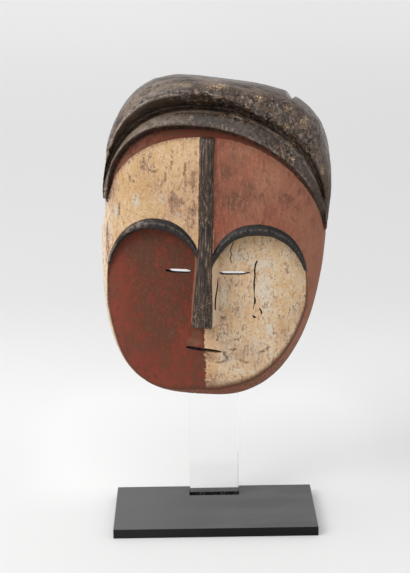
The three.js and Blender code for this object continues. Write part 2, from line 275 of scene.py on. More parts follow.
@dataclass(frozen=True)
class Split:
    """A crack or a dent along a line in the front view, with pointed ends."""

    width: float
    points: tuple[Row, ...]

    def outline(self) -> list[tuple[float, float]]:
        """The split's outline in the front view."""
        line = np.array(self.points)
        ahead = np.gradient(line, axis=0)
        side = np.stack([-ahead[:, 1], ahead[:, 0]], axis=1) / np.hypot(*ahead.T)[:, None]
        side *= self.width / 2 * np.sin(np.pi * np.linspace(0, 1, len(line)))[:, None] ** 0.6
        return [tuple(p) for p in line + side] + [tuple(p) for p in (line - side)[-2:0:-1]]

    def away(self, x: Values, z: Values) -> Values:
        """How far points lie outside the split."""
        best = np.full(len(x), 1e3)
        for (x0, z0), (x1, z1) in zip(self.points[:-1], self.points[1:]):
            wide, high = x1 - x0, z1 - z0
            share = np.clip(((x - x0) * wide + (z - z0) * high) / (wide**2 + high**2), 0, 1)
            best = np.minimum(best, np.hypot(x - x0 - share * wide, z - z0 - share * high))
        return best - self.width / 2


PATCHES: dict[str, tuple[Row, ...]] = {
    "chalk": (
        (52, -14, 15, 13, 1.1), (53, -38, 11, 18, 1.2), (58, -56, 9, 11, 1.1), (30, -8, 12, 7, 1.1),
        (17, -44, 7, 20, 1.2), (61, -78, 8, 9), (48.5, -91, 9, 6), (21.5, -108, 9, 6),
        (35, -120, 12, 4, 0.8), (-88, 31, 5, 12), (-67, 43, 6, 9, 1.1), (-42, 44, 4, 8, 1.2),
        (-27, 31, 6, 5), (-95, 12, 4, 12, 0.8),
    ),
    "ochre": (
        (-56, 56, 14, 18, 1.1), (-74, 58, 10, 12, 0.8), (-19, 50, 6, 16, 0.8), (-58, 22, 16, 8, 0.8),
        (78, -30, 18, 48, 1.1), (34, 4, 18, 8, 1.1), (30, -44, 10, 22), (70, -68, 14, 26),
        (40, -86, 24, 14), (24, -128, 26, 10),
    ),
    "stain": (
        (-30, 42, 12, 20, 1.2), (-14, 62, 9, 26, 0.9), (-15, 34, 11, 26, 0.8), (-46, 60, 8, 10, 0.6),
        (-60, 74, 8, 16, 0.5), (-90, 50, 5, 20, 0.6), (-97, -5, 4, 20, 0.6), (38, -22, 9, 4, 1.2),
        (28, -33, 20, 7, 0.8), (12, -72, 12, 16, 0.9), (30, -60, 14, 14, 0.6), (18, -92, 11, 9, 0.9),
        (34, -102, 28, 13, 0.8), (8, -132, 18, 14, 0.9), (50, -112, 14, 9, 0.8), (6, -106, 12, 7, 1),
        (76, -86, 10, 22, 0.6), (86, -56, 6, 30, 0.6),
    ),
    "haze": (
        (53, 66, 26, 30), (30, 92, 26, 14, 0.8), (80, 30, 20, 20, 0.6), (-10, -92, 11, 7, 1.2),
        (-8, -84, 7, 7, 0.8),
    ),
    "smudge": (
        (24, 46, 16, 18, 1.3), (16, 74, 12, 28), (9, 56, 7, 52, 0.8), (40, 60, 12, 14, 0.8),
        (72, 48, 12, 10, 0.9), (28, 82, 8, 14, 0.6), (46, 50, 12, 8, 0.7), (-58, -14, 28, 42, 1.1),
        (-40, 2, 34, 22, 0.9), (-36, -60, 22, 30, 0.6), (-40, -95, 24, 30, 0.6),
    ),
    "bare": (
        (8, 150.5, 22, 6, 1.1), (-20, 152, 14, 5, 0.6), (47, 142, 7, 4.5, 1.1), (72, 132, 11, 6),
        (71, 117, 9, 9, 0.9), (88, 122, 8, 10, 1.1), (76, 100, 7, 7), (78, 87.5, 4.5, 5, 1.3),
        (105, 77, 4, 8, 1.2), (98, 98, 6, 14, 0.6), (20, 124, 34, 5, 0.6), (-96, 62, 7, 16, 0.6),
    ),
    "crust": (
        (6, 140, 50, 12), (48, 130, 50, 16), (80, 104, 30, 30),
    ),
    "sheen": (
        (-62, 126, 60, 46), (-60, 104, 40, 26, 0.9), (10, 158, 90, 12, 0.6),
    ),
}
SPLITS = (
    Split(1.1, ((47.2, -11.5), (45.5, -14.8), (45, -21), (45.5, -26), (44.8, -32), (45, -38.7))),
    Split(0.4, ((45.2, -41), (45.6, -50), (45, -58))),
    Split(0.45, ((24.4, 5.5), (22.1, 0.5), (21.5, -3.2), (22.7, -5.3), (21.5, -9.7), (22.8, -14.5))),
    Split(0.6, ((10.5, -29.4), (10.3, -37.8), (9.6, -46.1), (9.6, -54.5), (10, -58))),
    Split(0.6, ((46, -46.5), (46.8, -50), (46.2, -53))),
    Split(1, ((44.2, -64.5), (46, -66.5), (47.6, -66))),
    Split(1.1, ((50.5, -57), (52.4, -60), (53, -62))),
    Split(1.8, ((-40.2, -23.9), (-38.6, -24.1), (-36, -24.2))),
    Split(0.9, ((36.5, -23.5), (38.6, -23.1), (40.6, -22.9))),
)
SCORES = (
    Split(1, ((-33.5, 93), (-33.6, 89.5), (-33.2, 86))),
    Split(1.1, ((-33.2, 82), (-33, 80.5), (-33.3, 78.5))),
    Split(1.8, ((-20, 80.5), (-20.4, 77.5), (-20, 74.5))),
    Split(1.6, ((-21.2, 73), (-21.8, 71), (-22.2, 69))),
    Split(1.2, ((-60, 85), (-60.3, 82), (-60.2, 79.5))),
    Split(1.2, ((-61, 77), (-61.3, 75.5), (-61, 73))),
    Split(0.9, ((-38.4, 76), (-38.8, 70), (-39, 65), (-40.2, 61))),
    Split(0.9, ((-55, 73.5), (-50, 70.5), (-46, 73.5))),
    Split(1, ((-73, 66.5), (-73.4, 64), (-73, 61.5))),
    Split(1.2, ((-33, 54), (-33.4, 50), (-32.8, 45))),
    Split(1.1, ((-13, 62), (-13.6, 57), (-13, 53))),
    Split(1.1, ((-12.4, 44), (-13, 38), (-12.6, 33))),
    Split(0.9, ((-84, 42), (-84.6, 34), (-84, 27))),
    Split(1, ((-98, 20), (-98.6, 10), (-98.2, 0))),
    Split(1.2, ((23, -99.5), (28, -97.5), (33, -99))),
    Split(1.8, ((51, -101), (55.5, -99.5), (60.5, -95.5))),
    Split(1.8, ((18, -101), (20.5, -106), (23, -112))),
    Split(1.3, ((8, -110), (14, -112), (19, -109.5))),
    Split(1.3, ((33, -108), (38, -111), (43, -110))),
    Split(1.2, ((24, -58), (28.5, -61.5), (31, -57.5))),
    Split(1.3, ((14, -66), (18, -69), (22, -64))),
    Split(1.2, ((10, -82), (13, -86), (11, -90))),
)
CHIN_NOTCH = ((-13.4, -153), (-12.9, -148.2), (-11.9, -145.6), (-11.2, -148), (-10.6, -153))
TOP_NOTCH = (
    (66.5, 156), (67.6, 148.6), (70, 145), (72.4, 141.3), (75, 141.9), (76.4, 144), (80, 144.6), (81, 156),
)


def strongest(patches: Iterable[Row], x: Values, z: Values) -> Values:
    """The strongest of several soft oval areas at each point, never under -1.

    Args:
        patches: For each area its middle's x and z, its half width and half height, and where it
            isn't 1 how strong it is in its middle.
        x: Places across the mask.
        z: Heights on the mask.

    Returns:
        One value for each point.
    """
    best = np.full(len(x), -1.0)
    for middle_x, middle_z, wide, high, *strength in patches:
        away = np.hypot((x - middle_x) / wide, (z - middle_z) / high)
        best = np.maximum(best, (strength or [1])[0] * (1 - away))
    return best


class Grain:
    """Soft noise that is the same on every run, from a seeded block of random numbers."""

    def __init__(self, seed: int, cells: int = 32) -> None:
        """Fills the block of random numbers."""
        self.cells = cells
        self.block = np.random.default_rng(seed).random((cells, cells, cells)).astype(np.float32)

    def at(self, places: Points, size: float | Row) -> Values:
        """Noise from 0 to 1 with blobs of a given size.

        Args:
            places: Points, in millimetres.
            size: The blobs' size in millimetres, one number or one for each axis.

        Returns:
            One value for each point.
        """
        spot = places / np.asarray(size, dtype=np.float64)
        cell = np.floor(spot).astype(np.int64)
        part = spot - cell
        part = part * part * (3 - 2 * part)
        total = np.zeros(len(places))
        for step in np.ndindex(2, 2, 2):
            weight = np.abs(1 - np.array(step) - part).prod(axis=1)
            total += weight * self.block[tuple(((cell + step) % self.cells).T)]
        return total

    def layers(self, places: Points, size: float | Row, count: int = 2) -> Values:
        """Several sizes of noise added up, each half as large and as strong, still from 0 to 1."""
        weights = [0.5**i for i in range(count)]
        sizes = [np.asarray(size, dtype=np.float64) * weight for weight in weights]
        total = sum(weight * self.at(places + 37.7 * i, sizes[i]) for i, weight in enumerate(weights))
        return total / sum(weights)


def ball(around: int, along: int) -> BMesh:
    """A unit ball with its poles up and down, ready to be moulded."""
    bm = bmesh.new()
    bmesh.ops.create_uvsphere(bm, u_segments=around, v_segments=along, radius=1.0)
    return bm


def cube(cuts: int) -> BMesh:
    """A unit cube whose edges are divided, ready to be moulded."""
    bm = bmesh.new()
    bmesh.ops.create_cube(bm, size=1.0)
    bmesh.ops.subdivide_edges(bm, edges=bm.edges, cuts=cuts, use_grid_fill=True)
    return bm


def mould(bm: BMesh, mover: Mover) -> BMesh:
    """Moves all vertices of a mesh by a function of their places.

    Args:
        bm: The mesh.
        mover: Takes an array of places and returns the new ones.

    Returns:
        The same mesh, with its faces pointing out.
    """
    moved = mover(np.array([v.co for v in bm.verts], dtype=np.float64))
    for vertex, place in zip(bm.verts, moved):
        vertex.co = place
    bmesh.ops.recalc_face_normals(bm, faces=bm.faces)
    return bm


def turns(places: Points) -> tuple[Values, Values]:
    """The angle round the poles, and the run from the top pole to the bottom one from 0 to 1."""
    angle = np.arctan2(places[:, 1], places[:, 0])
    return angle, np.arccos(np.clip(places[:, 2], -1, 1)) / np.pi


def as_object(bm: BMesh, name: str = "tool") -> bpy.types.Object:
    """Makes an object of a mesh and frees the mesh's working copy."""
    mesh = bpy.data.meshes.new(name)
    bm.to_mesh(mesh)
    bm.free()
    shape = bpy.data.objects.new(name, mesh)
    bpy.context.scene.collection.objects.link(shape)
    return shape


def settle(shape: bpy.types.Object) -> None:
    """Applies an object's modifiers to its mesh."""
    view = bpy.context.evaluated_depsgraph_get()
    mesh = bpy.data.meshes.new_from_object(shape.evaluated_get(view))
    old = shape.data
    shape.modifiers.clear()
    shape.data = mesh
    bpy.data.meshes.remove(old)


class Way(Enum):
    """What a tool does to a shape."""

    JOIN = "UNION"
    CUT = "DIFFERENCE"
    KEEP = "INTERSECT"


def combine(shape: bpy.types.Object, tool: bpy.types.Object, way: Way) -> None:
    """Joins a tool to a shape, cuts it from the shape or keeps what both share, and removes the tool.

    Args:
        shape: What is changed.
        tool: A closed shape.
        way: What is done.
    """
    boolean = shape.modifiers.new("cut", "BOOLEAN")
    boolean.operation = way.value
    boolean.solver = "MANIFOLD"
    boolean.object = tool
    settle(shape)
    mesh = tool.data
    bpy.data.objects.remove(tool)
    bpy.data.meshes.remove(mesh)


class MaskForm:
    """The mask's carved surfaces as formulas, in its own frame: X right, Y back, Z up, millimetres."""

    outline = Outline()
    block = Bulge(68, 84, 0, 92, 3.6, 3)
    hollow = Bulge(39, 60, 8, 78, 3.6, 2.8)
    hollow_inset = Inset(9, 22, 11)
    back_trim = 4
    field = Field()
    arches = (Arch(-49.9, -36, 47.4, 57.1, 2.11), Arch(48.4, -36, 46.1, 55, 2.15))
    cords = (Cord(10, 165, 10, 151, 5, 1.2, 1.8), Cord(16, 156, 14, 166, 4.85, 0.9, 0.9))
    arch_foot = -60
    roll_lower = Horseshoe(-18.6, 82.4, 127.6, 104.8, 2.6, 2)
    roll_upper = Horseshoe(-8.8, 94.8, 120.8, 118.7, 2.42, 2.19)
    crest_upper = Horseshoe(-12, 94.6, 127.2, 150.5, 2.66, 4.29, -0.085)
    crest_lip = Horseshoe(-12, 93, 118, 133, 2.6, 2)
    forehead_edge = Horseshoe(-0.4, 101.1, 108.9, 94.3, 2.35, 1.91)
    slits = (Slit(-26.8, -24.1, 23, 4, 0), Slit(24.4, -24, 27, 3.6, 2), Slit(-1.4, -99.2, 36.5, 3.4, -5.5))
    nose_x = -0.9
    nose_tip, nose_brow, nose_top = -73.8, 18, 104

    def block_depth(self, x: Values, z: Values) -> Values:
        """How far the carved block stands forward at a point of its front."""
        return self.block.depth(z, self.outline.share(x, z))

    def dome(self, bulge: Bulge, inset: Inset, around: int, along: int) -> BMesh:
        """A dome over the outline, closed by a flat back a little behind the rim.

        Args:
            bulge: How far it stands forward.
            inset: How far it is set in from the block's outline.
            around: Faces round the outline.
            along: Faces from the front pole to the back pole.

        Returns:
            The dome's mesh.
        """
        side_end, back_end, quarter = (along - 2) / along, (along - 1) / along, 0.25 / along

        def move(places: Points) -> Points:
            """Places the unit ball's points on the dome."""
            angle, run = turns(places)
            tilt = np.pi / 2 * np.minimum(run / side_end, 1)
            share = np.where(run > back_end + quarter, 0, np.sin(tilt) ** (2 / bulge.side_power))
            radius = share / self.outline.away(np.cos(angle), np.sin(angle), inset)
            z = self.outline.widest_z + radius * np.sin(angle)
            x = radius * np.cos(angle) + self.outline.shift(z)
            front = -bulge.height(z) * np.maximum(np.cos(tilt), 0) ** (2 / bulge.front_power)
            return np.stack([x, np.where(run > side_end + quarter, self.back_trim, front), z], axis=1)

        return mould(ball(around, along), move)

    def roll(self, path: Path, power: float, around: int, along: int) -> BMesh:
        """A roll along a path, whose section lies across the path and straight forward.

        Args:
            path: Gives, for runs from 0 to 1, the middle, depth, half width, half depth and slant,
                and for a roll with a lip where it lies and how deep it is cut in below it.
            power: How square the section is.
            around: Faces round the section.
            along: Faces along the path.

        Returns:
            The roll's mesh.
        """
        end = 0.2 / along

        def move(places: Points) -> Points:
            """Places the unit ball's points on the roll, with all of a pole's in one."""
            angle, run = turns(places)
            at = path(run)
            open_run = (run > end) & (run < 1 - end)
            outward = open_run * signed_power(np.cos(angle), 2 / power)
            forward = open_run * at["deep"] * signed_power(np.sin(angle), 2 / power)
            if "lip" in at:
                below = np.clip((at["lip"] - outward) / (at["lip"] + 1), 0, 1) * (angle > 0)
                forward = forward - open_run * at["recess"] * below**0.55
            y = -(at["depth"] + forward - at["slant"] * outward)
            return np.stack([at["x"] + at["out_x"] * outward, y, at["z"] + at["out_z"] * outward], axis=1)

        return mould(ball(around, along), move)

    def band(self, inner: Horseshoe, outer: Horseshoe, angle: Values) -> dict[str, Values]:
        """The middle and half width of a band between two horseshoes, and how high up it is."""
        low, high = np.array(inner.point(angle)), np.array(outer.point(angle))
        (x, z), (out_x, out_z) = (low + high) / 2, (high - low) / 2
        return {"x": x, "z": z, "out_x": out_x, "out_z": out_z, "height": np.maximum(np.sin(angle), 0)}

    def front_roll(self) -> BMesh:
        """The narrow roll at the front of the headdress."""
        start, end, tip = 6, 161, 0.3
        proud_side, proud_top, deep, slant = 9, 16, 12, 4

        def path(run: Values) -> dict[str, Values]:
            """The roll's place and section along its run."""
            at = self.band(self.roll_lower, self.roll_upper, np.radians(start + (end - start) * run))
            size, width = swell(run, tip, 0.5), swell(run, tip, 0.2)
            proud = (proud_side + (proud_top - proud_side) * at["height"] ** 2 - deep) * size
            at |= {"depth": self.block_depth(at["x"], at["z"]) + proud, "deep": deep * size}
            return at | {"slant": slant * size, "out_x": at["out_x"] * width, "out_z": at["out_z"] * width}

        return self.roll(path, 4.2, 64, 260)

    def crest(self) -> BMesh:
        """The heavy crest behind it, which runs back to the rim."""
        start, end, tip, behind, slant = 3.4, 169, 0.42, -9, 5
        front_side, front_top, flattened, inwards, recess = 56, 96, 7, 3.2, 34

        def path(run: Values) -> dict[str, Values]:
            """The crest's place and section along its run."""
            degrees = start + (end - start) * run
            flatter = 1 - ramp(degrees, 38, 68)
            at = self.band(self.roll_upper, self.crest_upper, np.radians(degrees))
            lip_x, lip_z = self.crest_lip.point(np.radians(degrees))
            lip = (lip_x - at["x"]) * at["out_x"] + (lip_z - at["z"]) * at["out_z"]
            at["lip"] = np.clip(lip / (at["out_x"] ** 2 + at["out_z"] ** 2), -0.85, 0.6)
            size = swell(run, tip, 0.45)
            front = (front_side + (front_top - front_side) * at["height"] ** 1.3 - flattened * flatter) * size
            at |= {"depth": (front + behind) / 2, "deep": (front - behind) / 2, "slant": slant * size}
            at["recess"] = recess * size * (0.4 + 0.6 * at["height"]) * (1 - 0.8 * flatter)
            at["x"] = at["x"] - inwards * (1 - ramp(degrees, 3, 26))
            return at | {"out_x": at["out_x"] * size, "out_z": at["out_z"] * size}

        return self.roll(path, 2.7, 96, 260)

    def brow(self, arch: Arch, cord: Cord) -> BMesh:
        """The raised cord along the arched top of a face field."""

        def path(run: Values) -> dict[str, Values]:
            """The cord's place and section along its run."""
            degrees = cord.start + (cord.end - cord.start) * run
            (x, z), ahead = arch.point(np.radians(degrees)), arch.point(np.radians(degrees + 0.5))
            wide, high, radius = ahead[0] - x, ahead[1] - z, cord.thickness(degrees)
            size = radius / np.hypot(wide, high)
            at = {"x": x, "z": z, "depth": self.block_depth(x, z) - 0.4 * radius, "slant": 0}
            return at | {"out_x": high * size, "out_z": -wide * size, "deep": radius}

        return self.roll(path, 2, 28, 160)

    def nose_below(self, z: Values) -> Values:
        """How far down the face a height is: 0 at the brow and 1 at the nose's tip."""
        return np.maximum(self.nose_brow - z, 0) / (self.nose_brow - self.nose_tip)

    def nose_half(self, z: Values) -> Values:
        """Half the width of the nose's front."""
        return 6.6 + 2.3 * ramp(self.nose_below(z), 0.35, 0.9)

    def nose(self) -> BMesh:
        """The nose: a bar on the forehead that stands out from the sunken face below it."""
        proud, tip_front, back, widening, rounding = 3.5, 81, 44, 5, 1.6

        def move(places: Points) -> Points:
            """Places the unit cube's points on the nose."""
            across, ahead = places[:, 0] * 2, 0.5 - places[:, 1]
            z = self.nose_tip + (self.nose_top - self.nose_tip) * (places[:, 2] + 0.5)
            below = self.nose_below(z)
            brow_front = self.block_depth(np.zeros(len(z)), np.maximum(z, self.nose_brow)) + proud
            front = brow_front + (tip_front - brow_front) * below
            depth = back + (front - back) * ahead - (ahead > 0.99) * rounding * across**4
            flare = widening * np.minimum(below * 3, 1) * (1 - ahead)
            return np.stack([self.nose_x + across * (self.nose_half(z) + flare), -depth, z], axis=1)

        return mould(cube(63), move)

    def plate(self, points: Iterable[tuple[float, float]], near: float, far: float) -> BMesh:
        """A prism of an outline in the front view.

        Args:
            points: The outline.
            near: The depth of its front.
            far: The depth of its back.

        Returns:
            The prism's mesh.
        """
        bm = bmesh.new()
        face = bm.faces.new([bm.verts.new((x, -far, z)) for x, z in points])
        made = bmesh.ops.extrude_face_region(bm, geom=[face])["geom"]
        verts = [g for g in made if isinstance(g, bmesh.types.BMVert)]
        bmesh.ops.translate(bm, verts=verts, vec=(0.0, far - near, 0.0))
        bmesh.ops.recalc_face_normals(bm, faces=bm.faces)
        return bm

    def field_cutter(self) -> bpy.types.Object:
        """What is cut away in front of the face fields."""
        side, below, near, foot = 140, -175, 170, self.arch_foot
        sweep = np.radians(np.linspace(180, 0, 120))
        left, right = (arch.point(sweep) for arch in self.arches)
        points = [(-side, below), (-side, foot), (left[0][0], foot), *zip(*left), *zip(*right)]
        points += [(right[0][-1], foot), (side, foot), (side, below)]
        cutter = as_object(self.plate(points, 160, 20))

        def move(places: Points) -> Points:
            """Bends the near side of a block to the fields' surface."""
            x, z = places[:, 0] * 290, -60 + places[:, 2] * 240
            depth = self.field.at(x, z, self.outline.share(x, z))
            return np.stack([x, -(depth + (near - depth) * (0.5 - places[:, 1])), z], axis=1)

        combine(cutter, as_object(mould(cube(119), move)), Way.KEEP)
        return cutter


@dataclass(frozen=True)
class MaskPlace:
    """Where the mask's own frame sits on the stand."""

    x: float = 1.45
    y: float = 43.6
    z: float = 274.15
    yaw: float = 6.5
    lean: float = 8
    roll: float = 1.4

    def matrix(self) -> Matrix:
        """The move from the mask's millimetres to the object's metres."""
        turn = (
            Matrix.Rotation(-math.radians(self.yaw), 4, "Z")
            @ Matrix.Rotation(-math.radians(self.lean), 4, "X")
            @ Matrix.Rotation(math.radians(self.roll), 4, "Y")
        )
        place = Matrix.Translation(Vector((self.x, self.y, self.z)) * MM)
        return place @ turn @ Matrix.Diagonal((MM, MM, MM, 1.0))


class Mask:
    """The carved mask: its form, the marks of carving and wear, and the values its paint follows."""

    most_faces = 195_000
    sharp_angle = 55

    def __init__(self) -> None:
        """Sets the form and the grain."""
        self.form = MaskForm()
        self.place = MaskPlace()
        self.grain = Grain(SEED)
        self.voxel = 0.9

    def rough_block(self) -> bpy.types.Object:
        """The parts of the carving joined, with the back trimmed and the hollow cut."""
        form = self.form
        shape = as_object(form.dome(form.block, Inset(), 300, 90), "mask_carving")
        combine(shape, form.field_cutter(), Way.CUT)
        for bm in (*map(form.brow, form.arches, form.cords), form.nose(), form.front_roll(), form.crest()):
            combine(shape, as_object(bm), Way.JOIN)
        behind = bmesh.new()
        bmesh.ops.create_cube(behind, size=400.0)
        bmesh.ops.translate(behind, verts=behind.verts, vec=(0.0, 200.0, 0.0))
        for bm in (behind, form.dome(form.hollow, form.hollow_inset, 200, 60)):
            combine(shape, as_object(bm), Way.CUT)
        return shape

    def build(self) -> bpy.types.Object:
        """Makes the mask's mesh, in place and with its paint values."""
        shape = self.rough_block()
        remesh = shape.modifiers.new("even", "REMESH")
        remesh.mode = "VOXEL"
        remesh.voxel_size = self.voxel
        settle(shape)
        self.wear(shape)
        thin = shape.modifiers.new("thin", "DECIMATE")
        thin.ratio = min(1.0, self.most_faces / (2 * len(shape.data.polygons)))
        settle(shape)
        cuts = [(slit.outline(), 120, 20) for slit in self.form.slits]
        cuts += [(split.outline(), 90, 46) for split in SPLITS]
        for points, near, far in (*cuts, (CHIN_NOTCH, 60, -5), (TOP_NOTCH, 105, -8)):
            combine(shape, as_object(self.form.plate(points, near, far)), Way.CUT)
        self.mark(shape)
        shape.data.transform(self.place.matrix())
        shape.data.polygons.foreach_set("use_smooth", [True] * len(shape.data.polygons))
        shape.data.set_sharp_from_angle(angle=math.radians(self.sharp_angle))
        return shape

    @staticmethod
    def rows(values: bpy.types.bpy_prop_collection, name: str) -> Points:
        """One row of three numbers for each item of a mesh's collection."""
        flat = np.empty(len(values) * 3)
        values.foreach_get(name, flat)
        return flat.reshape(-1, 3)

    @staticmethod
    def relaxed(mesh: bpy.types.Mesh, values: Points, rounds: int) -> Points:
        """Values evened out between neighbouring vertices.

        Args:
            mesh: The mesh whose edges join the vertices.
            values: One row for each vertex.
            rounds: How many times to even them out.

        Returns:
            The evened values.
        """
        pairs = np.empty(len(mesh.edges) * 2, dtype=np.int64)
        mesh.edges.foreach_get("vertices", pairs)
        ends = pairs.reshape(-1, 2).T
        count = np.maximum(np.bincount(pairs, minlength=len(values)), 1)[:, None]
        for _ in range(rounds):
            total = np.zeros_like(values)
            for here, there in (ends, ends[::-1]):
                total += np.stack([np.bincount(here, row[there], len(values)) for row in values.T], axis=1)
            values = 0.5 * values + 0.5 * total / count
        return values

    def regions(self, places: Points) -> dict[str, Values]:
        """How far each vertex is from the borders of the carving's parts, in millimetres.

        Args:
            places: The vertices in the mask's own frame.

        Returns:
            One array for each border. Values are positive inside the named part.
        """
        form = self.form
        x, depth, z = places[:, 0], -places[:, 1], places[:, 2]
        on_left = x < 0
        share = form.outline.share(x, z)
        block, fields = form.block.depth(z, share), form.field.at(x, z, share)
        inside = [arch.inside(x, z) for arch in form.arches]
        thick = [cord.thickness(arch.angle(x, z)) for arch, cord in zip(form.arches, form.cords)]
        cut = np.clip((block - fields) * 0.5, -30, 30)
        field = np.where(z < form.arch_foot, cut, np.minimum(np.maximum(*inside), cut))
        lift = depth - np.where(field > 0, np.minimum(fields, block), block)
        cords = [
            np.minimum(radius + 0.5 - np.abs(inner), (z + foot) * 0.5)
            for radius, inner, foot in zip(thick, inside, (22, 20))
        ]
        above_hair = z - np.where(on_left, 38, 16)
        roll = form.roll_lower.beyond(x, z)
        beside = np.abs(x - form.nose_x) - form.nose_half(z)
        on_nose = np.minimum.reduce([z - form.nose_tip + 1.5, lift - 1.2, 1 - roll])
        slit = np.maximum.reduce([slit.near(x, z) for slit in form.slits])
        hollow_share = form.outline.share(x, z, form.hollow_inset)
        hollow = form.hollow.depth(z, hollow_share) + 4.5 - depth
        over = form.roll_upper
        return {
            "field": field,
            "lift": lift,
            "cord": np.where(on_left, *cords),
            "ride": np.clip(np.where(on_left, -inside[0] / thick[0], -inside[1] / thick[1]), -4, 4),
            "bar": np.minimum(0.6 - beside, on_nose),
            "flank": np.minimum.reduce([beside, 5.5 - beside, on_nose + 0.8, (form.nose_brow - z) * 0.3]),
            "slit": np.minimum(slit, -lift - 0.8),
            "arc": np.arctan2(z - over.centre_z, x - over.x) * 110,
            "roll": np.minimum(roll, z - np.where(on_left, 40, 26)),
            "crest": np.minimum(over.beyond(x, z), above_hair),
            "lip": form.crest_lip.beyond(x, z),
            "forehead": -np.minimum(form.forehead_edge.beyond(x, z), above_hair),
            "inside": np.where(hollow_share < 1.04, hollow, -9),
            "rim": -depth,
            "share": share,
            "crack": np.minimum.reduce([split.away(x, z) for split in SPLITS]),
            "score": np.minimum.reduce([split.away(x, z) for split in SCORES]),
            **{name: strongest(rows, x, z) for name, rows in PATCHES.items()},
        }

    def wear(self, shape: bpy.types.Object) -> None:
        """Presses the marks of carving and wear into an evenly meshed shape."""
        mesh = shape.data
        places = self.relaxed(mesh, self.rows(mesh.vertices, "co"), 2)
        normals = self.rows(mesh.vertex_normals, "vector")
        x, y, z = places.T
        at = self.regions(places)

        def rough(size: float | Row, offset: float = 0) -> Values:
            """Two sizes of noise around 0, drawn at an offset of its own."""
            return self.grain.layers(places + offset, size) - 0.5

        hair = ramp(at["roll"], -1, 2) * ramp(y, -6, -16)
        skin = 1 - hair
        inside = ramp(at["inside"], -1, 1.5)
        crust = ramp(at["crust"], 0, 0.5)
        sheen = ramp(at["sheen"], 0, 0.6)
        lip = np.exp(-((at["lip"] / 2.5) ** 2)) * (at["crest"] > 0) * ramp(z, 60, 84)
        hewn = rough((18, 18, 26)) * 1.8 + rough((5, 5, 7), 20) * (0.8 + 2.2 * crust)
        hewn += rough(4.5, 10) * 3 * lip
        pits = ramp(rough((3.2, 3.2, 4.5), 90), 0.06, 0.22)
        move = (self.grain.at(places, 38) - 0.5 + rough(11) * 0.5) * skin * (1 - inside)
        move += hair * (hewn * (1 - 0.6 * sheen) - (0.3 + 1.3 * crust) * pits)
        move += ramp(at["bar"], -0.5, 0.8) * (self.grain.at(places, (1.5, 30, 26)) - 0.5) * 1.1
        move += ramp(at["cord"], -0.3, 0.6) * rough(6, 70) * 0.9
        move += inside * rough((13, 13, 22), 55) * 1.6
        arris = ramp(-np.abs(at["share"] - 0.93), -0.02, 0) * (z < -20)
        move -= arris * ramp(rough(4, 30), 0.1, 0.22) * 0.7
        move -= 4.4 * ramp(-x, 88, 100) * ramp(z, 8, 38) * skin
        side = ramp(-x, 92, 104) * ramp(z, 30, 44) * ramp(-z, -100, -74)
        move -= 2.6 * side * hair * ramp(-normals[:, 0], 0.3, 0.8)
        dip = ramp(x, 70, 76) * ramp(-x, -112, -92) * ramp(z, 120, 134)
        move -= 2.2 * dip * hair * ramp(at["lip"], 2, 8)
        move *= 1 - ramp(y, -3, -0.5)
        mesh.vertices.foreach_set("co", (places + normals * move[:, None]).ravel())
        mesh.update()

    def mark(self, shape: bpy.types.Object) -> None:
        """Writes the values that the paint follows on to the finished mesh."""
        mesh = shape.data
        places = self.rows(mesh.vertices, "co")
        at = self.regions(places)
        dent = places - self.relaxed(mesh, places, 6)
        at["worn_and_sheen"] = np.einsum("ij,ij->i", dent, self.rows(mesh.vertex_normals, "vector"))
        spot = mesh.attributes.new("spot", "FLOAT_VECTOR", "POINT")
        spot.data.foreach_set("vector", places.astype(np.float32).ravel())
        for name, values in at.items():
            store = mesh.attributes.new(name, "FLOAT", "POINT")
            store.data.foreach_set("value", values.astype(np.float32))


class Socket:
    """A number in a shader. Expressions on it add the Math nodes they need."""

    def __init__(self, shop: "Shader", link: bpy.types.NodeSocket) -> None:
        """Keeps the shader and the link."""
        self.shop = shop
        self.link = link

    def _math(self, operation: str, *values: Amount) -> "Socket":
        """One Math node."""
        return self.shop.number("ShaderNodeMath", {"operation": operation}, dict(enumerate(values)))

    def __add__(self, other: Amount) -> "Socket":
        """The sum."""
        return self._math("ADD", self, other)

    __radd__ = __add__

    def __sub__(self, other: Amount) -> "Socket":
        """The difference."""
        return self._math("SUBTRACT", self, other)

    def __rsub__(self, other: Amount) -> "Socket":
        """The difference from a number."""
        return self._math("SUBTRACT", other, self)

    def __mul__(self, other: Amount) -> "Socket":
        """The product."""
        return self._math("MULTIPLY", self, other)

    __rmul__ = __mul__

    def __neg__(self) -> "Socket":
        """The same size with the other sign."""
        return self._math("MULTIPLY", self, -1.0)

    def most(self, other: Amount) -> "Socket":
        """The larger of two."""
        return self._math("MAXIMUM", self, other)

    def size(self) -> "Socket":
        """The value without its sign."""
        return self._math("ABSOLUTE", self)

    def ramp(self, low: float, high: float) -> "Socket":
        """A soft ramp from 0 at low to 1 at high."""
        sockets = {0: self, 1: low, 2: high, 3: 0.0, 4: 1.0}
        return self.shop.number("ShaderNodeMapRange", {"interpolation_type": "SMOOTHSTEP"}, sockets)


class Coat(Socket):
    """A colour in a shader, on which further colours are laid."""

    def lay(self, share: Amount, colour: Look) -> "Coat":
        """Lays a colour over a share of it, and returns itself."""
        self.link = self.shop.mix(share, self, colour).link
        return self


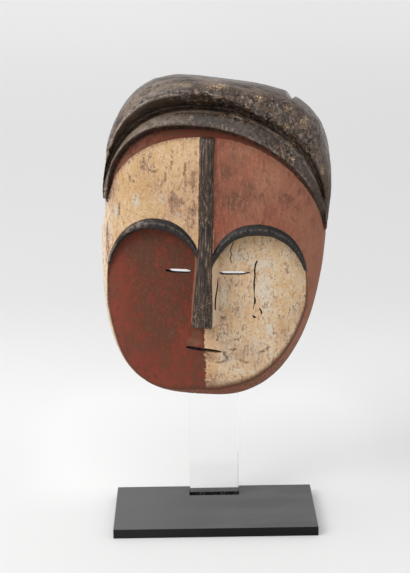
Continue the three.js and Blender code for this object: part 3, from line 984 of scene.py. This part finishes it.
class Shader:
    """One material's nodes."""

    def __init__(self, name: str) -> None:
        """Starts a material with only its output and its surface shader."""
        self.material = bpy.data.materials.new(name)
        self.material.use_nodes = True
        self.tree = self.material.node_tree
        self.tree.nodes.clear()
        self.output = self.tree.nodes.new("ShaderNodeOutputMaterial")
        self.surface = self.tree.nodes.new("ShaderNodeBsdfPrincipled")
        self.tree.links.new(self.surface.outputs[0], self.output.inputs["Surface"])

    def feed(self, node: bpy.types.Node, sockets: dict[int | str, object]) -> None:
        """Sets or links a node's inputs, by name or number."""
        for name, value in sockets.items():
            value = value.link if isinstance(value, Socket) else value
            if isinstance(value, bpy.types.NodeSocket):
                self.tree.links.new(value, node.inputs[name])
            else:
                node.inputs[name].default_value = value

    def add(self, kind: str, settings: dict | None = None, sockets: dict | None = None) -> bpy.types.Node:
        """Adds one node.

        Args:
            kind: The node's type.
            settings: Its own settings, set first.
            sockets: Values or links for its inputs, by name or number.

        Returns:
            The node.
        """
        node = self.tree.nodes.new(kind)
        for name, value in (settings or {}).items():
            setattr(node, name, value)
        self.feed(node, sockets or {})
        return node

    def number(self, kind: str, settings: dict, sockets: dict, out: int | str = 0) -> Socket:
        """Adds one node and returns its output as a number."""
        return Socket(self, self.add(kind, settings, sockets).outputs[out])

    def value(self, name: str) -> Socket:
        """One of the values written on the mesh."""
        return self.number("ShaderNodeAttribute", {"attribute_name": name}, {}, "Fac")

    def place(self) -> bpy.types.NodeSocket:
        """The place on the object, in its own frame."""
        return self.add("ShaderNodeTexCoord").outputs["Object"]

    def axes(self, place: bpy.types.NodeSocket) -> list[Socket]:
        """The three numbers of a place."""
        return [Socket(self, out) for out in self.add("ShaderNodeSeparateXYZ", {}, {0: place}).outputs]

    def noise(
        self,
        place: bpy.types.NodeSocket,
        scale: float,
        detail: float = 4,
        rough: float = 0.6,
        warp: float = 0,
        stretch: Row | None = None,
    ) -> Socket:
        """Fractal noise, about 0.5 in the middle.

        Args:
            place: Where it is looked up.
            scale: How many blobs there are to a unit of length.
            detail: How many finer layers there are.
            rough: How strong the finer layers are.
            warp: How far the blobs are drawn out of shape.
            stretch: Scales for the place's axes, to draw the pattern out.

        Returns:
            The noise.
        """
        if stretch:
            place = self.add("ShaderNodeMapping", {}, {"Vector": place, "Scale": stretch}).outputs[0]
        sockets = {"Vector": place, "Scale": scale, "Detail": detail, "Roughness": rough, "Distortion": warp}
        return self.number("ShaderNodeTexNoise", {}, sockets)

    def mix(self, share: Amount, below: Look, above: Look) -> Coat:
        """A mix of two colours, values or links, where share is how much there is of the upper one."""
        settings = {"data_type": "RGBA", "clamp_factor": True}
        return Coat(self, self.add("ShaderNodeMix", settings, {0: share, 6: below, 7: above}).outputs[2])

    def dress(self, **sockets: object) -> bpy.types.Material:
        """Sets or links the surface shader's sockets by their names, with _ for a space.

        Args:
            sockets: Values or links.

        Returns:
            The finished material.
        """
        self.feed(self.surface, {name.replace("_", " "): value for name, value in sockets.items()})
        return self.material


@dataclass(frozen=True)
class PaintColours:
    """The paints and the wood, as they look in soft light, and the colours of painted shade, sheen and
    highlights.
    """

    cream: tuple = srgb(200, 165, 126)
    ochre: tuple = srgb(186, 146, 94)
    pale: tuple = srgb(216, 188, 152)
    whitish: tuple = srgb(228, 206, 180)
    chalk: tuple = srgb(198, 190, 176)
    dust: tuple = srgb(210, 196, 172)
    dun: tuple = srgb(176, 138, 110)
    stain: tuple = srgb(134, 102, 86)
    tan: tuple = srgb(156, 116, 82)
    fleck: tuple = srgb(78, 54, 42)
    red: tuple = srgb(146, 98, 78)
    bright_red: tuple = srgb(138, 76, 58)
    flame: tuple = srgb(168, 110, 84)
    pale_red: tuple = srgb(160, 116, 92)
    dark_red: tuple = srgb(104, 62, 50)
    deep_red: tuple = srgb(106, 47, 32)
    dusk_red: tuple = srgb(84, 52, 36)
    warm_red: tuple = srgb(124, 57, 45)
    olive: tuple = srgb(90, 60, 44)
    smudge: tuple = srgb(96, 72, 58)
    russet: tuple = srgb(124, 84, 66)
    brown: tuple = srgb(86, 54, 38)
    black: tuple = srgb(40, 33, 28)
    soot_and_shade: tuple = srgb(20, 16, 14)
    grey: tuple = srgb(84, 77, 70)
    drift: tuple = srgb(88, 68, 52)
    ridge: tuple = srgb(154, 126, 102)
    cord_sheen: tuple = srgb(118, 102, 90)
    umber: tuple = srgb(60, 46, 37)
    ash: tuple = srgb(100, 86, 76)
    worn_and_sheen: tuple = srgb(148, 132, 118)
    lip_highlight: tuple = srgb(186, 174, 164)
    rust_and_glint: tuple = srgb(138, 96, 64)
    straw: tuple = srgb(208, 172, 124)
    wood: tuple = srgb(142, 106, 74)
    dark_wood: tuple = srgb(92, 64, 44)


class PaintedWood:
    """The mask's one material: matt mineral paints on carved wood, with wear and stains, and with painted
    shade, sheen and highlights in places.
    """

    def __init__(self, colours: PaintColours = PaintColours()) -> None:
        """Keeps the colours, starts the shader and sets out the patterns that the paints share."""
        self.tint = colours
        self.shop = shop = Shader("painted_wood")
        spot = shop.add("ShaderNodeAttribute", {"attribute_name": "spot"}).outputs["Vector"]
        self.across, _, self.up = shop.axes(spot)
        self.broad = shop.noise(spot, 0.045, stretch=(1, 1, 0.6))
        self.mid = shop.noise(spot, 0.15, warp=0.6, stretch=(1, 1, 0.7))
        self.fine = shop.noise(spot, 0.45, rough=0.7, stretch=(1, 1, 0.7))
        self.grit = shop.noise(spot, 0.8, 3, 0.7)
        self.streak = shop.noise(spot, 0.42, rough=0.65, stretch=(1, 1, 0.16))
        self.fibre = shop.noise(spot, 0.75, rough=0.65, stretch=(1, 1, 0.05))
        self.flute = shop.noise(spot, 0.8, 1, 0.5, stretch=(1, 1, 0.02))
        self.ragged = (shop.noise(spot, 0.35) - 0.5) * 3
        self.uneven = (self.mid - 0.5) * 2.4 + (self.fine - 0.5) * 1.4

    def cream_paint(self) -> Coat:
        """Cream over chalk, gone ochre and brown in places, with bare whitish patches."""
        shop, tint, at = self.shop, self.tint, self.shop.value
        paint = shop.mix(self.broad.ramp(0.38, 0.62) * 0.5, tint.cream, tint.ochre)
        paint.lay((at("ochre") + self.uneven).ramp(0.1, 0.9) * 0.8, tint.ochre)
        paint.lay((self.mid * 0.5 + self.streak * 0.5).ramp(0.44, 0.6) * 0.8, tint.pale)
        edge = at("share").ramp(0.78, 0.96) * (-self.across).ramp(20, 60)
        paint.lay(edge * self.streak.ramp(0.26, 0.46), tint.whitish)
        lobe = self.across.ramp(8, 16) * (-self.up).ramp(-20, 0)
        chalk = (at("chalk") + self.uneven * 0.8 + (self.streak - 0.5) * 2).ramp(0, 0.7)
        paint.lay(chalk * 0.8, tint.chalk)
        stain = at("stain") + self.uneven + (self.streak - 0.5) * 2.4
        paint.lay(stain.ramp(-0.3, 0.4) * 0.5, tint.dun)
        paint.lay(stain.ramp(0.3, 0.9) * 0.75, tint.stain)
        paint.lay(lobe * (0.16 + self.mid.ramp(0.4, 0.6) * 0.34), tint.dust)
        paint.lay((self.streak * 0.5 + self.fine * 0.5).ramp(0.5, 0.62) * 0.75, tint.tan)
        paint.lay((self.fine * 0.6 + self.mid * 0.4).ramp(0.54, 0.64) * 0.75, tint.stain)
        paint.lay((self.grit * 0.7 + self.streak * 0.3).ramp(0.44, 0.36) * 0.8, tint.whitish)
        dirty = at("stain").most(0) * 0.035
        speck = (self.grit * 0.45 + self.mid * 0.3 + self.broad * 0.25 + dirty).ramp(0.57, 0.63)
        paint.lay(speck * 0.85, tint.fleck)
        score = (at("score") + (self.grit - 0.5) * 3.6).ramp(0.8, 0.2)
        return paint.lay(score * 0.65, tint.fleck)

    def red_paint(self) -> Coat:
        """The dusty red of the forehead's right half and the right side."""
        shop, tint, at = self.shop, self.tint, self.shop.value
        paint = shop.mix(self.broad.ramp(0.38, 0.62) * 0.6, tint.red, tint.bright_red)
        near = (self.across + (self.mid - 0.5) * 60).ramp(48, 8)
        paint.lay(near * 0.6, tint.bright_red)
        paint.lay((at("haze") + self.uneven * 0.8).ramp(0, 0.9) * 0.6, tint.pale_red)
        paint.lay((at("smudge") + self.uneven * 0.9).ramp(-0.1, 1.2) * 0.85, tint.smudge)
        paint.lay((self.mid * 0.6 + self.fine * 0.4).ramp(0.46, 0.62) * 0.7, tint.dark_red)
        paint.lay((self.fine * 0.4 + self.streak * 0.6).ramp(0.5, 0.61) * 0.6, tint.flame)
        edge = at("share").ramp(0.7, 0.95) * (-self.up).ramp(-60, 0)
        paint.lay(edge * 0.3, tint.pale_red)
        paint.lay(self.fine.ramp(0.46, 0.36) * 0.6, tint.bright_red)
        low = (-self.up).ramp(70, 125)
        paint.lay(low * self.fine.ramp(0.36, 0.6) * 0.7, tint.brown)
        return paint.lay((self.grit * 0.6 + self.mid * 0.4).ramp(0.61, 0.67) * 0.6, tint.straw)

    def deep_paint(self) -> Coat:
        """The deep red of the left face field, dusky in the middle and warmer at the edges."""
        shop, tint, at = self.shop, self.tint, self.shop.value
        paint = shop.mix(self.broad.ramp(0.4, 0.6) * 0.7, tint.deep_red, tint.dusk_red)
        dusk = (at("smudge") + self.uneven * 0.6).ramp(-0.2, 1)
        paint.lay(dusk * 0.7, tint.dusk_red)
        warm = at("share").ramp(0.6, 0.95) + self.uneven * 0.6
        paint.lay(warm.ramp(0.1, 1) * 0.8, tint.warm_red)
        paint.lay((at("haze") + self.uneven * 0.5).ramp(0, 1) * 0.55, tint.pale_red)
        paint.lay((self.mid * 0.7 + self.fine * 0.3).ramp(0.42, 0.66) * 0.7, tint.dusk_red)
        paint.lay((self.streak * 0.3 + self.fine * 0.7).ramp(0.52, 0.38) * 0.6, tint.warm_red)
        paint.lay((self.broad * 0.4 + self.mid * 0.6).ramp(0.44, 0.66) * 0.6, tint.olive)
        paint.lay((self.broad * 0.4 + self.mid * 0.6).ramp(0.5, 0.36) * 0.5, tint.warm_red)
        return paint.lay((self.grit * 0.6 + self.mid * 0.4).ramp(0.6, 0.68) * 0.3, tint.pale_red)

    def cord_paint(self) -> Coat:
        """Black on the brows' cords, with a painted highlight along the top and a painted brown sheen at the
        left end.
        """
        shop, tint, at = self.shop, self.tint, self.shop.value
        ride = at("ride") + (self.fine - 0.5) * 1.2
        # Painted highlight: a grey band along the top of each cord, where light falls on it.
        top_band = ride.ramp(-0.1, 0.15) * ride.ramp(0.55, 0.3)
        paint = shop.mix(self.fine.ramp(0.45, 0.65), tint.soot_and_shade, tint.black)
        paint.lay(top_band * self.fine.ramp(0.42, 0.56) * 0.7, tint.grey)
        # Painted sheen: lighter brown on the left cord's left end, which faces the light.
        left = (-self.across).ramp(46, 66) * ride.ramp(-0.7, -0.1) * ride.ramp(1.1, 0.7)
        return paint.lay(left * self.mid.ramp(0.4, 0.56) * 0.9, tint.cord_sheen)

    def bar_paint(self) -> Coat:
        """Black on the nose's bar, fluted, with light lines along the ridges that are partly bare brown wood
        and partly painted highlight, and painted highlights flecked on the lower nose.
        """
        shop, tint = self.shop, self.tint
        paint = shop.mix((self.flute * 0.7 + self.grit * 0.3).ramp(0.42, 0.6), tint.soot_and_shade, tint.drift)
        paint.lay(self.mid.ramp(0.45, 0.6) * 0.7, tint.umber)
        # Light lines along the flutes' ridges: partly bare wood, partly a painted highlight.
        ridge = (self.flute * 0.6 + self.streak * 0.15 + self.grit * 0.25).ramp(0.56, 0.64)
        paint.lay(ridge * 0.75, tint.ridge)
        tip = (-self.up).ramp(20, 60)
        paint.lay((-self.up).ramp(-20, 40) * 0.35, tint.soot_and_shade)
        # Painted highlights: light flecks on the lower nose and its tip.
        return paint.lay(tip * self.grit.ramp(0.56, 0.66) * 0.8, tint.ridge)

    def right_end(self) -> Socket:
        """The crest's dark end low on the right."""
        return self.across.ramp(88, 102) * self.up.ramp(96, 56)

    def headdress_paint(self) -> Coat:
        """Black gone brown and ashy on the headdress, pitted, with straw-coloured splinters; with painted
        sheen and highlights where light falls on it, and painted shade under the crest's lip.
        """
        shop, tint, at = self.shop, self.tint, self.shop.value
        places = {0: at("arc") * 0.4, 1: at("roll"), 2: at("rim")}
        ring = shop.add("ShaderNodeCombineXYZ", {}, places).outputs[0]
        along = shop.noise(ring, 0.12, 4, 0.65, 0.3)
        crumb = shop.noise(ring, 0.42, 4, 0.7, 0.4)
        crust = at("crust").ramp(0, 0.5)
        # Painted sheen: a pale grey over the smooth upper left of the crest, which faces the light.
        sheen = (at("sheen") + (along - 0.5) * 2.4).ramp(0, 0.8)
        paint = shop.mix((along * 0.6 + self.mid * 0.4).ramp(0.4, 0.6), tint.umber, tint.ash)
        paint.lay(sheen * 0.7, tint.worn_and_sheen)
        paint.lay((self.broad * 0.5 + self.fine * 0.5).ramp(0.48, 0.6) * 0.8, tint.umber)
        lip = at("lip") + self.ragged * 0.8
        # Painted shade in the recess under the crest's lip, fainter on the right side.
        under = at("crest").ramp(-1, 0.6) * lip.ramp(0.8, -0.8)
        under = under * (0.35 + at("arc").ramp(70, 130) * 0.65)
        shade = shop.mix((along * 0.5 + self.fine * 0.5).ramp(0.38, 0.56), tint.umber, tint.drift)
        paint.lay(under * 0.65, shade)
        # Painted glints: red-brown specks in the recess under the lip, none at the far left.
        glint = under * self.across.ramp(-90, -40) * (crumb * 0.5 + self.grit * 0.5).ramp(0.52, 0.6)
        paint.lay(glint * 0.7, tint.rust_and_glint)
        # Painted shade: mottled black below the crest's lip and just above it, fainter at the far left.
        dark = lip.ramp(8, 0) * (self.mid * 0.6 + crumb * 0.4).ramp(0.4, 0.54)
        dark = dark * (0.3 + self.across.ramp(-80, -40) * 0.7)
        paint.lay(dark * 0.8, tint.black)
        # Lighter on convex edges: partly paint wearing through, partly a painted highlight.
        worn_and_sheen = at("worn_and_sheen") + (crumb - 0.5) * 0.8
        paint.lay(worn_and_sheen.ramp(0.1, 0.34) * 0.75, tint.worn_and_sheen)
        # Painted highlight: the left part of the front roll, lit from the upper left.
        lit = at("roll").ramp(0, 5) * at("crest").ramp(1, -2) * (-self.across).ramp(10, 60)
        paint.lay(lit * along.ramp(0.34, 0.5) * 0.8, tint.worn_and_sheen)
        # Painted highlight: a pale line along the front roll's upper rim.
        rim = (at("crest") + 0.6).size().ramp(1.6, 0.5) * crumb.ramp(0.36, 0.5)
        paint.lay(rim * 0.7, tint.worn_and_sheen)
        # Painted highlight: a pale ragged line along the crest's lip, on the left.
        lit = lip.size().ramp(1.8, 0.4) * (-self.across).ramp(10, 40) * self.across.ramp(-96, -70)
        paint.lay(lit * crumb.ramp(0.36, 0.5) * 0.8, tint.lip_highlight)
        paint.lay(self.right_end() * 0.75, tint.umber)
        pits = (crumb + crust * 0.06).ramp(0.52, 0.62)
        paint.lay(pits * 0.8, tint.soot_and_shade)
        rusty = (self.grit * 0.5 + self.mid * 0.5 + crust * 0.03).ramp(0.54, 0.62)
        paint.lay(rusty * 0.35, tint.rust_and_glint)
        splinter = (self.grit * 0.7 + crumb * 0.3 + at("bare").most(0) * 0.13).ramp(0.62, 0.67)
        return paint.lay(splinter * 0.9, tint.straw)

    def make(self) -> bpy.types.Material:
        """Lays the paints in their places, and links them to the surface."""
        shop, tint, at = self.shop, self.tint, self.shop.value
        low = (-self.up).ramp(78, 120)
        middle = (-self.across + low * 1.6 - 1 + self.ragged * (1 + low * 2)).ramp(-0.6, 0.6)
        field = shop.mix(middle, self.cream_paint(), self.deep_paint())
        side = (-self.across - (-self.up).ramp(96, 126) * 60).ramp(-0.5, 0.5)
        brow = shop.mix(side, self.red_paint(), self.cream_paint())
        border = at("field")
        skin = shop.mix((border + self.ragged * 0.2).ramp(-0.3, 0.5), brow, field)
        edge = (border.size() + self.ragged * 0.5).ramp(1.7, 0.2) * (-self.up).ramp(10, 24)
        skin.lay(edge * 0.8, tint.brown)
        flank = (at("flank") + self.ragged * 0.3).ramp(-0.3, 0.8)
        lit = shop.mix((-self.across).ramp(-1, 1), tint.whitish, tint.pale_red)
        skin.lay(flank * self.fine.ramp(0.3, 0.55) * 0.8, lit)
        cord = (at("cord") + self.ragged * 0.4).ramp(-0.5, 0.5)
        skin.lay(cord, self.cord_paint())
        bar = (at("bar") + self.ragged * 0.3).ramp(-0.4, 0.4)
        skin.lay(bar, self.bar_paint())
        over = (-at("forehead") + self.ragged * 0.3).ramp(-0.3, 0.3)
        top_band = (-at("forehead") + self.ragged * 1.2).ramp(-4, 0) * (-self.across).ramp(6, 12)
        skin.lay(top_band * self.fine.ramp(0.34, 0.56) * 0.7, tint.stain)
        strip = shop.mix(self.fine.ramp(0.4, 0.62), tint.deep_red, tint.brown)
        left = (-self.across).ramp(20, 80)
        strip.lay(left * self.mid.ramp(0.36, 0.56) * 0.7, tint.russet)
        skin.lay(over, strip)
        # Painted shade: a ragged dark band just below the front roll, partly the black paint of its
        # underside.
        band = at("roll") + self.ragged * 1.5 - self.across.ramp(-60, 20) * 2
        below = over * band.ramp(-5.6, -3.8) * self.mid.ramp(0.36, 0.46)
        skin.lay(below * 0.85, shop.mix(self.fine.ramp(0.4, 0.6), tint.soot_and_shade, tint.umber))
        seam = (at("forehead") + self.ragged * 0.3).size().ramp(1, 0.2) * self.across.ramp(14, 24)
        seam = seam * self.mid.ramp(0.4, 0.56)
        skin.lay(seam * 0.35, tint.dun)
        roll = (at("roll") + self.ragged * 0.6).ramp(-0.8, 0.8)
        skin.lay(roll, self.headdress_paint())
        raw = shop.mix(self.fibre.ramp(0.38, 0.62), tint.wood, tint.dark_wood)
        hidden = at("inside").ramp(-1, 0.5).most(at("rim").ramp(-1.2, -0.4))
        skin.lay(hidden, raw)
        # Painted shade: near-black on the walls inside the eye and mouth slits, and the same black in the
        # cracks.
        sunk = at("slit").ramp(0, 0.8) * (1 - hidden)
        skin.lay(at("crack").ramp(0.3, 0.02).most(sunk), tint.soot_and_shade)
        relief = self.fine * 0.3 + self.fibre * 0.2 + self.grit * 0.25
        bump = shop.add("ShaderNodeBump", {}, {"Height": relief, "Strength": 0.6, "Distance": MM})
        sheer = (roll * (1 - self.right_end() * 0.8)).most(bar * 0.5).most(cord * 0.5)
        return shop.dress(
            Base_Color=skin,
            Roughness=0.76 + (self.fine - 0.5) * 0.3 - sheer * 0.26,
            Normal=bump.outputs[0],
            Coat_Weight=sheer * (0.35 + self.fine * 0.5),
            Specular_IOR_Level=0.22,
            Coat_Roughness=0.3,
        )


class ClearAcrylic:
    """The upright: clear cast acrylic."""

    def make(self) -> bpy.types.Material:
        """Builds the material."""
        shop = Shader("clear_acrylic")
        haze = shop.noise(shop.place(), 60, 3, 0.55)
        return shop.dress(
            Base_Color=(0.985, 0.99, 0.988, 1.0),
            Roughness=haze.ramp(0.55, 0.9) * 0.03,
            Transmission_Weight=1.0,
            IOR=1.49,
        )


class BlackAcrylic:
    """The base plate: satin black acrylic with a painted grey reflection on its top, and ragged glue in its
    slot.
    """

    def make(self) -> bpy.types.Material:
        """Builds the material."""
        shop = Shader("black_acrylic")
        place = shop.place()
        across, back, height = shop.axes(place)
        dust = shop.noise(place, 900, 3, 0.7)
        wipe = shop.noise(place, 22, 3, 0.5, stretch=(0.5, 1.6, 1))
        lump = shop.noise(place, 420, 3, 0.7, stretch=(1, 1, 0.4))
        # Painted reflection: the top is grey where the black acrylic mirrors the bright room, lighter to the
        # left, towards the light.
        top = shop.mix(across.ramp(30 * MM, -90 * MM), srgb(84, 84, 84), srgb(97, 97, 97))
        top.lay(wipe.ramp(0.42, 0.66) * 0.5, srgb(100, 100, 100))
        # Painted light: the sides stay near black, a little lighter to the left.
        side = shop.mix(across.ramp(40 * MM, -90 * MM), srgb(5, 5, 6), srgb(24, 24, 25))
        colour = side.lay(height.ramp(9.2 * MM, 9.8 * MM), top)
        colour.lay(dust.ramp(0.7, 0.8) * 0.4, srgb(104, 104, 104))
        slot = across.size().ramp(27 * MM, 26.5 * MM) * (back - 33.5 * MM).size().ramp(7.6 * MM, 7.2 * MM)
        glue = slot * height.ramp(9.9 * MM, 9 * MM) * lump.ramp(0.54, 0.6)
        colour.lay(glue * 0.8, srgb(112, 110, 108))
        return shop.dress(Base_Color=colour, Roughness=0.14 + wipe * 0.1, IOR=1.3)


@dataclass(frozen=True)
class PhotoCamera:
    """The camera at the photograph's angle."""

    x: float = -20.86
    y: float = -1302.84
    z: float = 613.92
    pitch: float = 16.006
    yaw: float = 0.5825
    roll: float = -0.6198
    focal_px: float = 1408.6
    frame_px: float = 573
    sensor: float = 36

    def build(self) -> None:
        """Makes the camera."""
        pitch, yaw, roll = (math.radians(v) for v in (self.pitch, self.yaw, self.roll))
        ahead = Vector((math.sin(yaw) * math.cos(pitch), math.cos(yaw) * math.cos(pitch), -math.sin(pitch)))
        level = Vector((math.cos(yaw), -math.sin(yaw), 0.0))
        rise = level.cross(ahead)
        right = math.cos(roll) * level + math.sin(roll) * rise
        top = -math.sin(roll) * level + math.cos(roll) * rise
        data = bpy.data.cameras.new("photo_camera")
        data.sensor_width = self.sensor
        data.lens = self.sensor * self.focal_px / self.frame_px
        camera = bpy.data.objects.new("photo_camera", data)
        turn = Matrix((right, top, -ahead)).transposed().to_4x4()
        camera.matrix_world = Matrix.Translation(Vector((self.x, self.y, self.z)) * MM) @ turn
        bpy.context.scene.collection.objects.link(camera)
        bpy.context.scene.camera = camera


@dataclass(frozen=True)
class Lamp:
    """A soft lamp: where it hangs, what it points at, how large and how strong it is."""

    kind: str
    size: float
    energy: float
    place: Vector
    target: Vector

    def hang(self, name: str) -> None:
        """Adds the lamp."""
        data = bpy.data.lights.new(name, self.kind)
        data.energy = self.energy
        if self.kind == "SUN":
            data.angle = self.size
        else:
            data.size = self.size
        lamp = bpy.data.objects.new(name, data)
        lamp.location = self.place
        lamp.rotation_euler = (self.target - self.place).to_track_quat("-Z", "Y").to_euler()
        bpy.context.scene.collection.objects.link(lamp)


class Studio:
    """The pale floor and the soft light."""

    floor_radius = 14.0
    window = Lamp("SUN", math.radians(85.0), 1.15, Vector((0.0, 0.0, 0.0)), Vector((0.55, 0.62, -1.0)))
    key = Lamp("AREA", 1, 14, Vector((-1.5, -1.1, 1.5)), Vector((0.0, 0.0, 0.25)))

    def build(self) -> None:
        """Makes the floor, the surrounding light and the lamps."""
        bm = bmesh.new()
        bmesh.ops.create_circle(bm, cap_ends=True, segments=96, radius=self.floor_radius)
        floor = as_object(bm, "floor")
        floor.data.materials.append(self.paper())
        world = bpy.data.worlds.new("studio")
        world.use_nodes = True
        background = world.node_tree.nodes["Background"]
        background.inputs["Color"].default_value = (1.0, 1.0, 1.0, 1.0)
        background.inputs["Strength"].default_value = 0.62
        bpy.context.scene.world = world
        self.window.hang("window")
        self.key.hang("key")

    def paper(self) -> bpy.types.Material:
        """The floor's paper, with the photo's soft fall of light on it."""
        shop = Shader("floor_paper")
        across, away, _ = shop.axes(shop.place())
        middle = away.ramp(0.25, 0.85) * away.ramp(6, 1.2)
        # Painted light: the paper is lighter close behind the base, which thins the shadow of the mask and
        # the base there.
        close = away.ramp(0, 0.1) * away.ramp(0.5, 0.2) * across.size().ramp(0.24, 0.12)
        tone = 0.2 + middle * 0.6 + away.ramp(0.3, 0) * 0.28 + across.ramp(-0.4, 0.6) * 0.16 - close * 0.5
        paper = shop.mix(tone, (0.97, 0.97, 0.97, 1.0), (0.77, 0.77, 0.77, 1.0))
        return shop.dress(Base_Color=paper, Roughness=0.75, Specular_IOR_Level=0.2)


def dress_node(name: str, material: bpy.types.Material) -> None:
    """Gives a CAD node a better material."""
    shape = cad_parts[name]
    if not shape.material_slots:
        shape.data.materials.append(material)
    for slot in shape.material_slots:
        slot.material = material


def main() -> None:
    """Builds everything in order."""
    logging.basicConfig(level=logging.INFO, format="%(message)s")
    bpy.context.scene.view_settings.view_transform = "Standard"
    PhotoCamera().build()
    Studio().build()
    mask = Mask().build()
    mask.name = "carved_mask"
    mask.data.materials.clear()
    mask.data.materials.append(PaintedWood().make())
    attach(mask, "root")
    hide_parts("mask")
    LOG.info("carved_mask: %d faces", len(mask.data.polygons))
    dress_node("upright", ClearAcrylic().make())
    dress_node("base_plate", BlackAcrylic().make())


if __name__ == "__main__":
    main()
